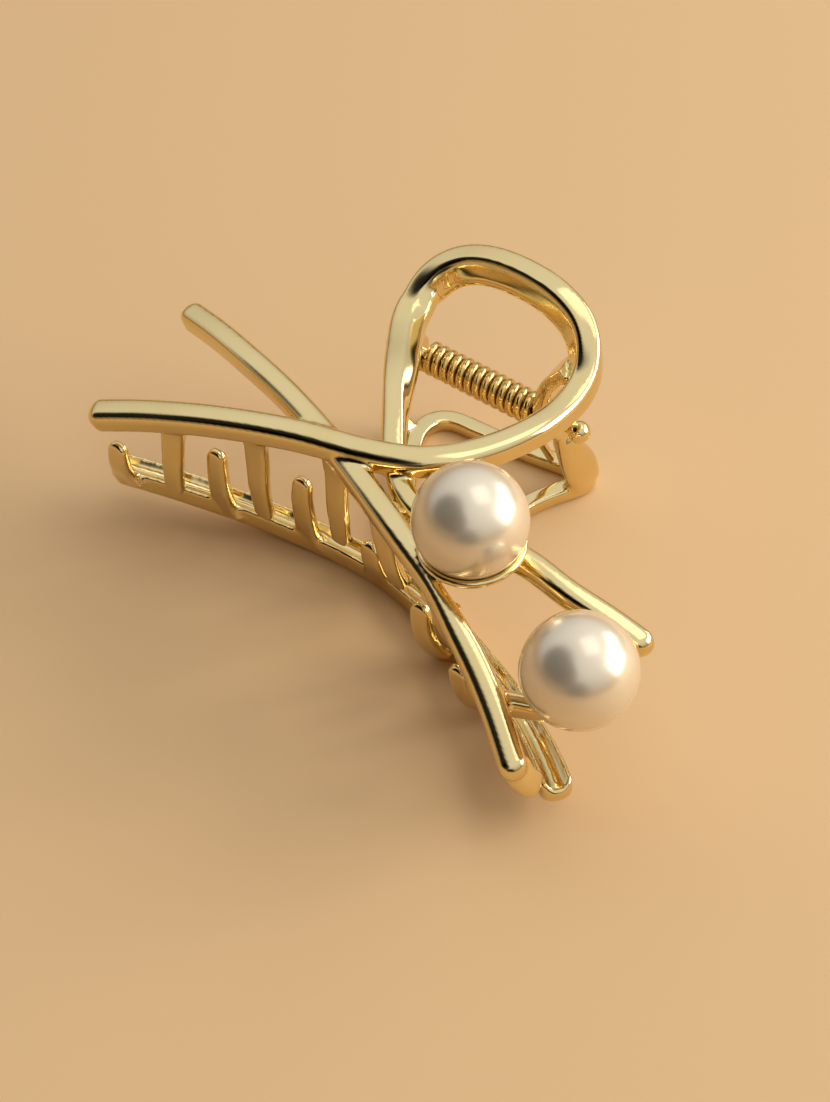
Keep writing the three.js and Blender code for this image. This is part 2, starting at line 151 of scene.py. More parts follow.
def averaged(path, sigma):
    """Each sample becomes the Gaussian mean of its neighbours, with the line carried on past its ends."""
    reach = int(np.ceil(3 * sigma))
    before = path[0] + (path[0] - path[1]) * np.arange(reach, 0, -1)[:, None]
    after = path[-1] + (path[-1] - path[-2]) * np.arange(1, reach + 1)[:, None]
    padded = np.vstack([before, path, after])
    weight = np.exp(-0.5 * (np.arange(-reach, reach + 1) / sigma) ** 2)
    weight /= weight.sum()
    return np.stack([np.convolve(padded[:, k], weight, "valid") for k in range(3)], axis=1)


def directions(path, outward):
    """Side and face along a path: face is outward less its part along the path, side is face x path."""
    tangent = np.gradient(path, axis=0)
    tangent /= np.linalg.norm(tangent, axis=1, keepdims=True)
    face = np.asarray(outward, float) - tangent * (tangent @ np.asarray(outward, float))[:, None]
    face /= np.linalg.norm(face, axis=1, keepdims=True)
    return np.cross(face, tangent), face


def distances(path):
    """How far each sample is from the start, and from the end, in mm."""
    length = np.concatenate([[0], np.cumsum(np.linalg.norm(np.diff(path, axis=0), axis=1))])
    return length, length[-1] - length


# %% [markdown]
# ## Closed shells
#
# A strand of the casting is a profile carried along a path: a grid with the path one way and the
# profile the other, drawn in to a point at each end so that the shell is closed.

# %% Shell helpers
PROFILE_SAMPLES = 52            # round every profile, so that one can be mixed into another
TIP_STRETCH = 1.6               # mm at each end of a path with closer samples


def grid_faces(rows, columns):
    """Quads of a grid that closes on itself across its columns."""
    r, c = np.meshgrid(np.arange(rows - 1), np.arange(columns), indexing="ij")
    along, across = r * columns, (r + 1) * columns
    d = (c + 1) % columns
    return np.stack([along + c, across + c, across + d, along + d], axis=-1).reshape(-1, 4)


def shell(rings):
    """A grid of rings (rows, columns, 3) as points, quads and triangles, closed by a fan at each end."""
    rows, columns, _ = rings.shape
    points = np.vstack([rings.reshape(-1, 3), rings[0].mean(0), rings[-1].mean(0)])
    count = rows * columns
    c = np.arange(columns)
    d = (c + 1) % columns
    row = count - columns
    first = np.stack([np.full(columns, count), c, d], axis=1)
    last = np.stack([np.full(columns, count + 1), row + d, row + c], axis=1)
    return points, grid_faces(rows, columns), np.vstack([first, last])


def bar_profile(width, depth, radius, back_radius=None, crown=0.0, groove=0.0, lean=0.0, lean_depth=1.0):
    """A rectangle with round corners as (across, up) points: each corner is a quarter circle.

    The face is crowned by crown * (1 - (2x / width)^2), and the back is hollowed by
    groove * (1 - (2x / (width - 0.7))^2) up to a third of a millimetre from its edges. The side towards
    plus x leans in by lean at the top, evenly over lean_depth.
    """
    back_radius = back_radius or radius
    turn = np.linspace(0, np.pi / 2, 12)
    corners = []
    for across, up, start, r in ((1, -1, -np.pi / 2, back_radius), (1, 1, 0, radius),
                                 (-1, 1, np.pi / 2, radius), (-1, -1, np.pi, back_radius)):
        centre = np.array([across * (width / 2 - r), up * (depth / 2 - r)])
        corners.append(centre + r * np.stack([np.cos(start + turn), np.sin(start + turn)], axis=1))
    closed = np.vstack([*corners, corners[0][:1]])
    closed = np.column_stack([closed, np.zeros(len(closed))])
    x, y = even(closed, distances(closed)[0][-1] / PROFILE_SAMPLES)[:-1, :2].T
    face = y > depth / 2 - radius
    y = y + np.where(face, crown * (1 - (2 * x / width) ** 2), 0)
    y = y + np.where(y < back_radius - depth / 2, groove * np.clip(1 - (2 * x / (width - 0.7)) ** 2, 0, 1), 0)
    up = np.clip(1 + (y - depth / 2) / lean_depth, 0, 1)
    x = np.where(x > 0, x * (1 - lean * up / (width / 2)), x)
    return np.stack([x, y], axis=1)


def round_off(distance, radius):
    """Quarter ellipse: 0 at the tip, 1 from radius mm inwards."""
    t = np.clip(distance / radius, 0, 1)
    return np.sqrt(np.clip(1 - (1 - t) ** 2, 0.0004, 1))


def carried(points, outward, profile, width_at=None, depth_at=None, tips=(1.2, 1.2), spread=1.2,
            second=None, share_at=None):
    """The profile carried along the smoothed path, with outward as its up.

    It is scaled across by width_at and up by depth_at, and rounded over tips mm at its ends. Where
    share_at is above 0, the second profile is mixed in by that share.
    """
    path = smooth_path(points, spread)
    # extra samples close to the ends, where the shell rounds off
    length, left = distances(path)
    total = length[-1]
    near = TIP_STRETCH * (1 - np.cos(np.linspace(0, np.pi / 2, 9)))
    middle = length[(length > TIP_STRETCH) & (left > TIP_STRETCH)]
    at = np.unique(np.concatenate([near, middle, total - near]))
    path = np.stack([np.interp(at, length, path[:, k]) for k in range(3)], axis=1)
    side, face = directions(path, outward)
    start, end = at, total - at
    ends = round_off(start, tips[0]) * round_off(end, tips[1]) if tips else np.ones(len(at))
    # towards a tip the profile turns into an ellipse, so the tip is round every way
    profile = profile[None]
    if second is not None:
        share = share_at(start, end)[:, None, None]
        profile = profile * (1 - share) + second[None] * share
    angle = np.arctan2(profile[:, :, 1], profile[:, :, 0])
    half = np.abs(profile).max(1, keepdims=True)
    oval = np.stack([half[:, :, 0] * np.cos(angle), half[:, :, 1] * np.sin(angle)], axis=-1)
    pure = np.clip(1.6 * (1 - ends), 0, 1)[:, None, None]
    section = profile * (1 - pure) + oval * pure
    w = ends * (width_at(start, end) if width_at else 1)
    d = ends * (depth_at(start, end) if depth_at else 1)
    x = section[:, :, :1] * w[:, None, None]
    y = section[:, :, 1:] * d[:, None, None]
    return shell(path[:, None] + x * side[:, None] + y * face[:, None])


def turned(profile, segments, centre, axis="n"):
    """A body of revolution from (radius, height) pairs about n, or about l for the pin."""
    r, h = np.asarray(profile, float).T
    turn = np.linspace(0, 2 * np.pi, segments, endpoint=False)
    cos, sin = np.cos(turn)[None, :], np.sin(turn)[None, :]
    across, up, rise = r[:, None] * cos, r[:, None] * sin, np.repeat(h[:, None], segments, 1)
    order = (across, up, rise) if axis == "n" else (rise, across, up)
    return shell(np.stack(order, axis=-1) + np.asarray(centre, float))


def piece(name, shells, body, stands_for):
    """One object from closed shells, in metres on the table, riding on a body."""
    mesh = bpy.data.meshes.new(name)
    points, faces, count = [], [], 0
    for shell_points, quads, fans in shells:
        points.append(on_table(shell_points))
        faces += (quads + count).tolist() + (fans + count).tolist()
        count += len(shell_points)
    mesh.from_pydata(np.vstack(points).tolist(), [], faces)
    bm = bmesh.new()
    bm.from_mesh(mesh)
    bmesh.ops.recalc_face_normals(bm, faces=bm.faces)
    bm.to_mesh(mesh)
    bm.free()
    mesh.polygons.foreach_set("use_smooth", np.ones(len(mesh.polygons), bool))
    thing = bpy.data.objects.new(name, mesh)
    bpy.context.scene.collection.objects.link(thing)
    if body:
        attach(thing, body)
    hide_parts(stands_for)
    print(name, len(mesh.vertices), "points", len(mesh.polygons), "faces")
    return thing


# %% [markdown]
# ## Sizes
#
# The castings are drawn from a few sizes that the whole clip shares.

# %% Sizes, in mm
STRAND_WIDTH, STRAND_DEPTH, STRAND_EDGE = 3.1, 2.9, 0.85
HANDLE_WIDTH, HANDLE_DEPTH, HANDLE_EDGE = 3.8, 3.6, 0.6
HANDLE_LEAN, HANDLE_LEAN_DEPTH = 1.2, 2.4       # the bevel on the inner side of the handle
LEG_LEAN, LEG_LEAN_DEPTH = 1.3, 1.0
FINGER_WIDTH, FINGER_DEPTH = 2.3, 1.9
LEAF_WIDTH, LEAF_DEPTH = 4.0, 1.8
TOOTH_WIDTH, TOOTH_THICKNESS = 3.3, 1.3
PEARL_RADIUS, CUP_WALL, CUP_GAP = 6.4, 0.9, 0.02
PEG_HOLE, PEG_DEPTH = 0.9, 4.5
PIN_RADIUS, PIN_FROM, PIN_TO, HEAD_RADIUS = 0.75, -13.7, 12.6, 1.35
EYE_RADIUS, EYE_EDGE = 2.1, 0.25
WIRE, COIL_RADIUS, COIL_FROM, COIL_TO, COIL_TURNS = 1.02, 1.6, -9.2, 6.1, 13
SKIN_VOXEL, SKIN_ROUNDS = 0.23, 4               # mm, and rounds of smoothing, for the castings

# which way the polished faces look
UP_AND_OUT = (0, -0.12, 1)
DOWN_TO_TABLE = (0, -0.105, -1)
FRONT = (0, -1, 0)
LEAF_OUT = (1, -0.3, 0.45)
print("strands", STRAND_WIDTH, "mm wide, pearls", 2 * PEARL_RADIUS, "mm across")

# %% [markdown]
# ## The upper jaw's paths
#
# One long strand runs in from the left tip and round the handle loop, and dies out along the leg. The
# leg starts as a step below the loop's corner, passes under the first strand and runs out to the
# right as the tail. A third strand crosses under both. Six flat teeth hang from them, and the
# crossing strand ends in a thick tooth that turns down.

# %% Upper paths
RUN_AND_LOOP = [
    [-34.4, -31.5, 3.7], [-27.6, -29.3, 5.8], [-18.2, -26.7, 8.1], [-8.4, -24.3, 9.6],
    [-0.5, -22.7, 10.1], [5.9, -20.2, 10.3], [10.1, -15.7, 10], [13, -9.6, 9.5], [13.7, -3.7, 8.8],
    [13.2, 0.8, 9.6], [10.5, 4.5, 12.1], [6.1, 6.1, 13.5], [1.1, 6.7, 13.7], [-3.9, 6.7, 13.1],
    [-7.4, 5.9, 12.0], [-9.5, 4.1, 10.8], [-10.6, 1.4, 9.0], [-10.6, -1.6, 7.9], [-9.3, -5.1, 7.8],
]
LEG_AND_TAIL = [
    [-9.9, 3.1, 9.6], [-10.1, 2, 9.2], [-10.4, -0.3, 8.3], [-9.6, -3, 8], [-8, -5.8, 8.3],
    [-4.8, -10.9, 9.2], [-1.3, -16.1, 9], [2, -20.6, 8.3], [6, -24.0, 7.9], [10.8, -25.4, 7.6],
    [16.1, -24.5, 7.3], [21.2, -23.4, 7], [27.8, -24.0, 6.2], [32.8, -23.9, 5.2], [38.3, -23.9, 3.8],
]
CROSS_STRAND = [
    [-33.6, -14.2, 6], [-27.3, -15.8, 7.3], [-20.8, -17.7, 8.2], [-14.2, -19.6, 8.6],
    [-7.7, -21.9, 8.8], [-1.8, -24.3, 8.9], [4, -26.9, 8.9], [9.8, -29.5, 8.6], [14.9, -31.9, 7.7],
    [19.7, -34.3, 6.6], [24.4, -36.8, 5.2], [29, -39.8, 3.7], [34.9, -44.4, 1.9],
]
CROSS_WAIST = 53.0              # mm from its left tip to its narrowest place, beside the pearl
UPPER_TEETH = [
    [[-24.2, -28.4, 6.1], [-24.2, -29.1, 2.2], [-24.2, -29.8, -1.8], [-24.2, -29.9, -5.2]],
    [[-14.2, -25.6, 7.8], [-14.2, -25.8, 2.8], [-14.2, -26.2, -1.2], [-14.2, -25.9, -7.2]],
    [[-4.9, -23.2, 8.9], [-4.9, -23, 3.4], [-4.9, -23.5, -1.6], [-4.9, -23.6, -8]],
    [[4.5, -26.8, 8.1], [4.6, -26.7, 2.9], [4.6, -26.2, -2.1], [4.8, -25.1, -7.5]],
    [[16.7, -32.4, 6.4], [16.7, -31.8, 1.5], [16.8, -30.9, -2.5], [16.9, -29.7, -6.4]],
    [[26.3, -37.5, 3.9], [26.4, -36.8, 0.6], [26.5, -35.6, -2.4], [26.6, -34.1, -4.6]],
]
END_TOOTH = [[32.8, -42.2, 1.9], [34.0, -42.9, 0.3], [34.8, -42.3, -1.5], [35.3, -41.2, -2.7]]
PEARLS = {"pearl_inner": (17.1, -26.8, 14.7), "pearl_outer": (35.7, -33.7, 9.6)}
CUP_RIMS = {"pearl_inner": 56, "pearl_outer": 26}     # degrees up from the foot of the pearl
CUP_WEBS = [
    [[27.4, -38.4, 3.4], [30.6, -36.6, 2.4], [34.4, -34.6, 2.2]],
    [[35.1, -23.9, 4.4], [35.5, -26.7, 3.4], [35.6, -31.2, 2.4]],
]
# start and end on the pin, the arm's path, its width, and how far it widens from the eye
UPPER_LUGS = [
    (7.0, 8.8, [[7.9, 0, 0.6], [8.1, 0.2, 3.6], [9.0, 0.6, 6.6], [10.8, 1.4, 8.9]], 3.6, 1.2),
    (-11.5, -10.2, [[-10.8, 0, 0.6], [-10.9, -0.4, 4], [-10.4, -0.3, 8.3]], 2.0, 1.3),
]

upper_strands = {"run and loop": RUN_AND_LOOP, "leg and tail": LEG_AND_TAIL, "crossing": CROSS_STRAND}
for name, points in upper_strands.items():
    print(name, distances(smooth_path(points))[0][-1].round(1), "mm long")

# %% [markdown]
# ## The lower jaw's paths
#
# An arched bar with its own teeth, which stand up between the upper ones, and a loop for the finger.
# A flat leaf joins the right lug to the loop.

# %% Lower paths
LOWER_ARCH = [
    [-33.1, -30.9, -5.3], [-27.6, -28.7, -6.5], [-21.9, -26.5, -8], [-16.8, -24.9, -9],
    [-11.7, -23.7, -9.9], [-6.6, -23, -10.3], [-1.6, -22.8, -10.5], [3.4, -23.3, -10.5],
    [8.3, -24.6, -10.1], [13.2, -26.2, -9.6], [18.1, -28.3, -8.9], [23.1, -30.6, -8],
    [28.7, -33.7, -7.2], [33.5, -37, -6.3], [36.9, -39.7, -5.6],
]
LOWER_LOOP = [
    [2.8, -23.4, -10.5], [-0.3, -18.6, -10.9], [-4.1, -12.6, -11.5], [-7.8, -6.6, -12.3],
    [-10.2, -1.4, -13], [-9.6, 1.6, -13.5], [-8, 2.6, -13.7], [-4.6, 2.8, -13.7], [0.4, 3.2, -13.7],
    [6.1, 4, -13.8], [9.8, 4.6, -13.7], [11.3, 4.2, -13.5], [11.1, 2.7, -13.3], [10, 0.6, -13],
    [8.8, -1.6, -12.8], [7.7, -4.2, -12.6], [6.5, -9, -12], [5.1, -14.1, -11.5],
    [3.9, -18.9, -11], [3.3, -23.4, -10.5],
]
LOWER_TEETH = [
    [[-30.9, -30.8, -5.8], [-31.1, -31.6, -3.3], [-31.1, -31.2, 0.6]],
    [[-19.7, -26.5, -8.8], [-19.8, -27, -5.7], [-19.8, -27, -2], [-19.8, -26.5, 2]],
    [[-9.5, -24, -10.0], [-9.5, -24.3, -6.2], [-9.6, -24.2, -2.2], [-9.5, -23.7, 1]],
    [[0.8, -23.7, -10.4], [0.7, -24.7, -6.6], [0.6, -24.8, -2.9]],
    [[14.8, -26.8, -9.4], [13.7, -28.8, -10], [12.9, -30, -8], [12.3, -30.7, -4], [12.1, -30.4, 0.3]],
    [[22.9, -30.4, -8.0], [21.8, -32.7, -8.8], [20.8, -33.9, -7.1], [20.2, -34.2, -4.4], [19.9, -34.4, -1.1]],
]
LOWER_LUGS = [
    (9.3, 10.9, [[10.1, 0, -0.6], [10.3, 0.1, -3], [10.5, 0.4, -5]], 2.6, 1.1),
    (-13.1, -11.8, [[-12.4, 0, -0.6], [-13.0, -1.2, -5], [-12.9, -2.6, -9.5], [-10.6, -2.4, -12.8]],
     1.8, 1.1),
]
LOWER_LEAF = [[10.4, 0.0, -1.7], [10.7, 0.6, -5], [11.1, 1.6, -8], [11.1, 2.6, -11.4], [10.8, 3, -13.3]]

# %% [markdown]
# ## Casting the jaws
#
# Each strand, tooth, lug and cup is first a shell of its own. A real casting has no joint lines where
# they meet: the mould is cut as one, and the plating rounds every inner corner a little. The Remesh
# modifier in voxel mode does the same, because it keeps only the outer skin of everything that
# overlaps, and a few rounds of smoothing then melt the corners together.

# %% Casting helpers
def smooth_step(t):
    """0 below 0, 1 above 1, and 3 t^2 - 2 t^3 between."""
    t = np.clip(t, 0, 1)
    return t * t * (3 - 2 * t)


def strand_profile(groove=0.0):
    return bar_profile(STRAND_WIDTH, STRAND_DEPTH, STRAND_EDGE, 0.4 if groove else 0.7, 0.2, groove)


# the handle loop is wider towards its hole and deeper, and its inner side leans
handle_profile = bar_profile(HANDLE_WIDTH, HANDLE_DEPTH, HANDLE_EDGE, 0.5, 0.08, 0,
                             HANDLE_LEAN, HANDLE_LEAN_DEPTH)
handle_profile += [(HANDLE_WIDTH - STRAND_WIDTH) / 2, (STRAND_DEPTH - HANDLE_DEPTH) / 2]
leg_profile = bar_profile(HANDLE_WIDTH, STRAND_DEPTH, HANDLE_EDGE, 0.5, 0.08, 0, LEG_LEAN, LEG_LEAN_DEPTH)
leg_profile += [(HANDLE_WIDTH - STRAND_WIDTH) / 2, 0]
finger_profile = bar_profile(FINGER_WIDTH, FINGER_DEPTH, 0.5, 0.4, 0.05)
leaf_profile = bar_profile(LEAF_WIDTH, LEAF_DEPTH, 0.85, 0.85, 0.35)


def strand(points, outward, width_at=None, tips=(1.6, 1.6), spread=1.2, groove=0.0):
    """A strand of the casting: crowned on its polished face, and hollowed on its back by groove."""
    return carried(points, outward, strand_profile(groove), width_at, None, tips, spread)


def tooth(points):
    """A flat strip that widens into its root as (1 - s / 2.6)^2 and tapers towards its round tip."""
    def root(start):
        return np.clip(1 - start / 2.6, 0, 1) ** 2

    def width(start, end):
        share = start / (start + end)
        return (1 + 0.55 * root(start)) * (1 - 0.27 * share) * round_off(end, 1.2)

    def depth(start, end):
        return (1 + 0.35 * root(start)) * round_off(end, 0.7)

    return carried(points, FRONT, bar_profile(TOOTH_WIDTH, TOOTH_THICKNESS, 0.38), width, depth, None, 0.8)


def lug(start, stop, arm, arm_width, flare):
    """A round eye on the pin between two places, and an arm that widens as the square of its length."""
    half = (stop - start) / 2
    edge = EYE_RADIUS - EYE_EDGE
    side = half - EYE_EDGE
    rim = [(0, -half), (edge, -half), (EYE_RADIUS, -side), (EYE_RADIUS, side), (edge, half), (0, half)]
    eye = turned(rim, 40, ((start + stop) / 2, 0, 0), axis="l")

    def depth(start, end):
        return 1 + (flare - 1) * (start / (start + end)) ** 2

    limb = carried(arm, FRONT, bar_profile(stop - start, arm_width, 0.4), None, depth, None, 0.8)
    return [eye, limb]


def cup(centre, rim):
    """A dish round the foot of a pearl: two circles' arcs a wall apart, joined by a round lip."""
    inner = PEARL_RADIUS + CUP_GAP
    outer = inner + CUP_WALL
    rim = np.radians(rim)
    angle = np.linspace(0.0, rim, 24)
    under = np.stack([outer * np.sin(angle), -outer * np.cos(angle)], axis=1)
    lip_centre = np.array([np.sin(rim), -np.cos(rim)]) * (inner + outer) / 2
    turn = np.linspace(0, np.pi, 7)[1:-1]
    out = np.array([np.sin(rim), -np.cos(rim)])
    up = np.array([np.cos(rim), np.sin(rim)])
    lip = lip_centre + CUP_WALL / 2 * (np.cos(turn)[:, None] * out + np.sin(turn)[:, None] * up)
    dish = np.stack([inner * np.sin(angle[::-1]), -inner * np.cos(angle[::-1])], axis=1)
    return turned(np.vstack([under, lip, dish]), 72, centre)


def cast(thing, voxel, rounds):
    """Melts a piece's shells into one skin, then smooths it."""
    skin = thing.modifiers.new("one_casting", "REMESH")
    skin.mode = "VOXEL"
    skin.voxel_size = voxel * MM
    skin.use_smooth_shade = True
    melt = thing.modifiers.new("melted_corners", "SMOOTH")
    melt.factor = 0.5
    melt.iterations = rounds
    made = bpy.data.meshes.new_from_object(thing.evaluated_get(bpy.context.evaluated_depsgraph_get()))
    thing.modifiers.clear()
    thing.data = made
    # the back is dressed flat where it meets the table
    place = np.empty(len(made.vertices) * 3, np.float32)
    made.vertices.foreach_get("co", place)
    place[2::3] = np.maximum(place[2::3], 0)
    made.vertices.foreach_set("co", place)
    made.polygons.foreach_set("use_smooth", np.ones(len(made.polygons), bool))
    print(thing.name, "cast:", len(made.polygons), "faces")


# %% How the strands change along their length, from the mm to their start and end
def loop_width(start, end):
    """A tenth wider at the left tip, and narrowed where the loop dies out on the leg."""
    return (1.1 - 0.1 * start / (start + end)) * (1 - 0.6 * smooth_step((9 - end) / 8))


def handle_share(start, end):
    """The handle's profile comes in 46 mm before the end, and is gone again at the end."""
    return smooth_step((46 - end) / 12) * smooth_step(end / 9)


def leg_share(start, end):
    """The leg's profile fades to a plain strand before the leg passes under the run."""
    return smooth_step((24 - start) / 10)


def tail_width(start, end):
    """Narrow at the step below the loop's corner, then full, then a little slimmer to the tip."""
    return (0.92 + 0.12 * smooth_step((24 - start) / 16)) * (0.7 + 0.3 * smooth_step(start / 4))


def cross_width(start, end):
    """The crossing strand's waist: 1 less a bell curve 5 mm wide."""
    return 1 - 0.3 * np.exp(-((start - CROSS_WAIST) / 5) ** 2)


def end_tooth_width(start, end):
    return 0.84 - 0.12 * start / (start + end)


def web_width(start, end):
    return np.full(len(start), 0.65)


def leaf_width(start, end):
    """The leaf widens from the eye on the pin over 8 mm."""
    return 0.74 + 0.46 * smooth_step(start / 8)


def spoon(start, end):
    """The arched bar's right end is a quarter wider."""
    return 1 + 0.25 * np.clip((start - 64) / 14, 0, 1)


# %% The upper jaw
long_tips = (1.6, 1.6)
upper_shells = [
    carried(RUN_AND_LOOP, UP_AND_OUT, strand_profile(), loop_width, None, long_tips, 1.2,
            handle_profile, handle_share),
    carried(LEG_AND_TAIL, UP_AND_OUT, strand_profile(), tail_width, None, long_tips, 0.8,
            leg_profile, leg_share),
    strand(CROSS_STRAND, UP_AND_OUT, cross_width),
    strand(END_TOOTH, FRONT, end_tooth_width, (1.2, 1.5)),
    *[strand(points, UP_AND_OUT, web_width, (0.6, 0.6)) for points in CUP_WEBS],
    *[tooth(points) for points in UPPER_TEETH],
    *[part for points in UPPER_LUGS for part in lug(*points)],
    *[cup(centre, CUP_RIMS[name]) for name, centre in PEARLS.items()],
]
upper = piece("upper_casting", upper_shells, "upper", "upper_jaw")
cast(upper, SKIN_VOXEL, SKIN_ROUNDS)

# %% The lower jaw
lower_shells = [
    strand(LOWER_ARCH, DOWN_TO_TABLE, spoon, groove=0.9),
    carried(LOWER_LOOP, DOWN_TO_TABLE, finger_profile, tips=(0.6, 0.6)),
    carried(LOWER_LEAF, LEAF_OUT, leaf_profile, leaf_width, None, (1.2, 0.8)),
    *[tooth(points) for points in LOWER_TEETH],
    *[part for points in LOWER_LUGS for part in lug(*points)],
]
lower = piece("lower_casting", lower_shells, "lower", "lower_jaw")
cast(lower, SKIN_VOXEL, SKIN_ROUNDS)

# %% [markdown]
# ## Pin, spring and pearls
#
# The pin is a turned rod with a ball head at the right and a head pressed on at the left. The spring is
# one wire: a leg in, thirteen close turns, and a leg out. Its ends press on different jaws, so it rides on
# neither body. Each pearl is a bead with a blind hole, which hides the peg of its cup.

# %% The hinge pin
PRESSED_HEAD = [(0, 0), (0.7, 0), (0.95, 0.12), (1.05, 0.25), (0.95, 0.4), (PIN_RADIUS, 0.45)]
neck = np.arcsin(PIN_RADIUS / HEAD_RADIUS)
ball = np.linspace(neck, np.pi, 18)
pin_profile = np.vstack([
    [(radius, PIN_FROM + height) for radius, height in PRESSED_HEAD],
    np.stack([HEAD_RADIUS * np.sin(ball), PIN_TO - HEAD_RADIUS * np.cos(ball)], axis=1),
])
pin_shell = turned(pin_profile, 48, (0, 0, 0), axis="l")
piece("ball_headed_pin", [pin_shell], "lower", "hinge_pin")

# %% The torsion spring
UPPER_LEG, LOWER_LEG = np.array([-9.3, -2.6, 5.6]), np.array([6.4, 2.9, -11.8])
TURN_SAMPLES, LEG_SAMPLES, WIRE_SAMPLES = 36, 14, 14


def spring_path():
    """The wire's middle: a straight leg, a helix about the pin, and a straight leg, with the bends eased."""
    share = np.linspace(0, 1, COIL_TURNS * TURN_SAMPLES + 1)
    turn = 2 * np.pi * COIL_TURNS * share
    along = COIL_FROM + (COIL_TO - COIL_FROM) * share
    coil = np.stack([along, -COIL_RADIUS * np.cos(turn), -COIL_RADIUS * np.sin(turn)], axis=1)
    part = np.linspace(0, 1, LEG_SAMPLES)[:, None]
    leg_in = UPPER_LEG + (coil[0] - UPPER_LEG) * part[:-1]
    leg_out = coil[-1] + (LOWER_LEG - coil[-1]) * part[1:]
    return even(averaged(even(np.vstack([leg_in, coil, leg_out]), 0.12), 2.5), 0.22)


def wire_rings(path):
    """Circles across the path, in a frame whose first direction stays nearest to the pin's."""
    tangent = np.gradient(path, axis=0)
    tangent /= np.linalg.norm(tangent, axis=1, keepdims=True)
    side = ALONG_L - tangent * tangent[:, :1]
    side /= np.linalg.norm(side, axis=1, keepdims=True)
    rise = np.cross(tangent, side)
    around = np.linspace(0, 2 * np.pi, WIRE_SAMPLES, endpoint=False)[None, :, None]
    start, end = distances(path)
    radius = WIRE / 2 * round_off(start + 0.02, 0.4) * round_off(end + 0.02, 0.4)
    circle = np.cos(around) * side[:, None] + np.sin(around) * rise[:, None]
    return path[:, None] + radius[:, None, None] * circle


spring = piece("coiled_spring", [shell(wire_rings(spring_path()))], None, "torsion_spring")
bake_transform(spring)

# %% The pearls
def pearl_profile():
    """A circle's arc from the rim of the peg hole to the top, and the blind hole inside it."""
    angle = np.linspace(np.arcsin(PEG_HOLE / PEARL_RADIUS), np.pi, 64)
    outside = np.stack([PEARL_RADIUS * np.sin(angle), -PEARL_RADIUS * np.cos(angle)], axis=1)
    bottom = -PEARL_RADIUS + PEG_DEPTH
    hole = [(0.0, bottom), (PEG_HOLE, bottom), (PEG_HOLE, outside[0, 1] + 0.15)]
    return np.vstack([hole, outside])


for name, centre in PEARLS.items():
    piece("lacquered_" + name, [turned(pearl_profile(), 96, centre)], "upper", name)

# %% [markdown]
# ## Finishes
#
# Gold plating over polished zinc is all metal: its colour is in its reflections, and a faint unevenness
# of gloss and surface keeps it from looking like a drawing of metal. The spring wire is drawn, so it
# is a little duller. Imitation pearls are plastic beads dipped in pearl lacquer, whose flakes shine
# like metal through a cream body, under a clear coat.

# %% Colour and node helpers
def hex_colour(code):
    """An sRGB hex value as linear light: c / 12.92 below 0.04045, else ((c + 0.055) / 1.055) ^ 2.4."""
    c = np.array([int(code[i:i + 2], 16) for i in (1, 3, 5)]) / 255
    linear = np.where(c <= 0.04045, c / 12.92, ((c + 0.055) / 1.055) ** 2.4)
    return (*linear.tolist(), 1.0)


def add_node(material, kind, inputs=None, **settings):
    """A node of that kind in a material or the world, with its settings, and its inputs set or linked."""
    node = material.node_tree.nodes.new(kind)
    for key, value in settings.items():
        setattr(node, key, value)
    for key, value in (inputs or {}).items():
        if isinstance(value, bpy.types.NodeSocket):
            material.node_tree.links.new(value, node.inputs[key])
        else:
            node.inputs[key].default_value = value
    return node


def new_finish(name):
    """A new material and its Principled shader."""
    material = bpy.data.materials.new(name)
    material.use_nodes = True
    return material, material.node_tree.nodes["Principled BSDF"]


def connect(material, output, socket):
    material.node_tree.links.new(output, socket)


def two_tints(material, share, first, second):
    """A mix of two hex colours by a share."""
    inputs = {"Factor": share, "A": hex_colour(first), "B": hex_colour(second)}
    return add_node(material, "ShaderNodeMix", inputs, data_type="RGBA").outputs[2]


# %% Polished gold plating
CLOUD_SIZE = 6.25 * MM          # patches of plating tone
PEEL_SIZE, PEEL_DEPTH = 2.38 * MM, 0.08 * MM    # waves in the polish


def polished_gold_plate(name, colour, worn, roughness):
    """Full metal whose tint and gloss drift with a cloud, over a faint wave in the polish."""
    material, shader = new_finish(name)
    place = add_node(material, "ShaderNodeTexCoord").outputs["Object"]
    drift = {"Vector": place, "Scale": 1 / CLOUD_SIZE, "Detail": 4.0}
    cloud = add_node(material, "ShaderNodeTexNoise", drift)
    tint = two_tints(material, cloud.outputs["Fac"], colour, worn)
    gloss = add_node(material, "ShaderNodeMapRange", {
        "Value": cloud.outputs["Fac"], "From Min": 0.35, "From Max": 0.7,
        "To Min": roughness * 0.75, "To Max": roughness * 1.35})
    peel = add_node(material, "ShaderNodeTexNoise", {"Vector": place, "Scale": 1 / PEEL_SIZE, "Detail": 2.0})
    bump = add_node(material, "ShaderNodeBump", {
        "Height": peel.outputs["Fac"], "Strength": 0.1, "Distance": PEEL_DEPTH})
    shader.inputs["Metallic"].default_value = 1.0
    connect(material, tint, shader.inputs["Base Color"])
    connect(material, gloss.outputs[0], shader.inputs["Roughness"])
    connect(material, bump.outputs[0], shader.inputs["Normal"])
    return material


plated_gold = polished_gold_plate("polished_gold_plate_on_zinc", "#EED9A3", "#E8CF8D", 0.12)
plated_wire = polished_gold_plate("gold_plated_spring_wire", "#E4C987", "#DBBB72", 0.18)

